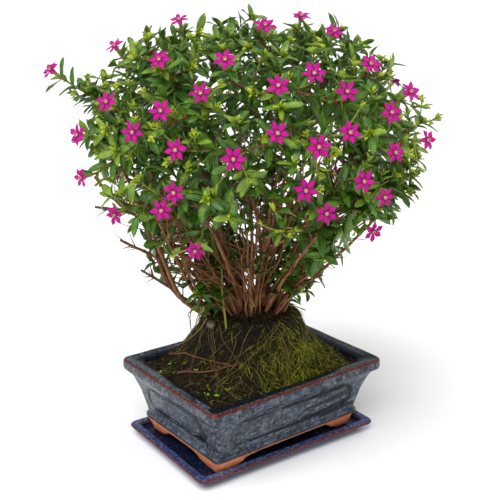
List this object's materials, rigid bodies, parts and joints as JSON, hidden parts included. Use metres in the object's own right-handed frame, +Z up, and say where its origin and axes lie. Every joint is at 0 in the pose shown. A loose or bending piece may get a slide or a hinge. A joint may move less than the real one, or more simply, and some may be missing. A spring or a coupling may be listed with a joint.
{
  "type": "cuphea bonsai in a glazed pot",
  "caption": "Small flowering cuphea bonsai: woody stems fan from a mossy root mound into a leafy crown with star-shaped magenta blooms, in a rectangular glazed pot on a saucer.",
  "frame": {"origin": "centre of the saucer's flat underside, on the surface the object stands on", "axes": "+Z up, +X along the pot's long side, +Y towards the side away from the pebble; the saucer is turned 2.5 degrees about Z under the pot"},
  "size_m": [0.238, 0.2412, 0.3018],
  "materials": {
    "saucer_glaze": "gloss",
    "pot_glaze": "gloss",
    "plastic_mesh": "matte",
    "soil": "matte",
    "pebble": "matte",
    "moss_and_peat": "matte",
    "dry_twig": "matte",
    "bark": "matte",
    "foliage": "satin",
    "petal": "matte"
  },
  "bodies": {
    "root": {"saucer": "saucer_glaze", "pot": "pot_glaze", "drain_mesh": "plastic_mesh", "soil": "soil", "pebble": "pebble", "root_mound": "moss_and_peat", "fallen_twigs": "dry_twig", "woody_stems": "bark", "bough_1": "foliage", "bough_2": "foliage", "bough_3": "foliage", "bough_4": "foliage", "bough_5": "foliage", "bough_6": "foliage", "bough_7": "foliage", "bough_8": "foliage", "long_shoot": "foliage", "bloom_01": "petal", "bloom_02": "petal", "bloom_03": "petal", "bloom_04": "petal", "bloom_05": "petal", "bloom_06": "petal", "bloom_07": "petal", "bloom_08": "petal", "bloom_09": "petal", "bloom_10": "petal", "bloom_11": "petal", "bloom_12": "petal", "bloom_13": "petal", "bloom_14": "petal", "bloom_15": "petal", "bloom_16": "petal", "bloom_17": "petal", "bloom_18": "petal", "bloom_19": "petal", "bloom_20": "petal", "bloom_21": "petal", "bloom_22": "petal", "bloom_23": "petal", "bloom_24": "petal", "bloom_25": "petal", "bloom_26": "petal", "bloom_27": "petal", "bloom_28": "petal", "bloom_29": "petal", "bloom_30": "petal", "bloom_31": "petal", "bloom_32": "petal", "bloom_33": "petal", "bloom_34": "petal", "bloom_35": "petal", "bloom_36": "petal", "bloom_37": "petal", "bloom_38": "petal", "bloom_39": "petal", "bloom_40": "petal", "bloom_41": "petal", "bloom_42": "petal"}
  },
  "joints": []
}
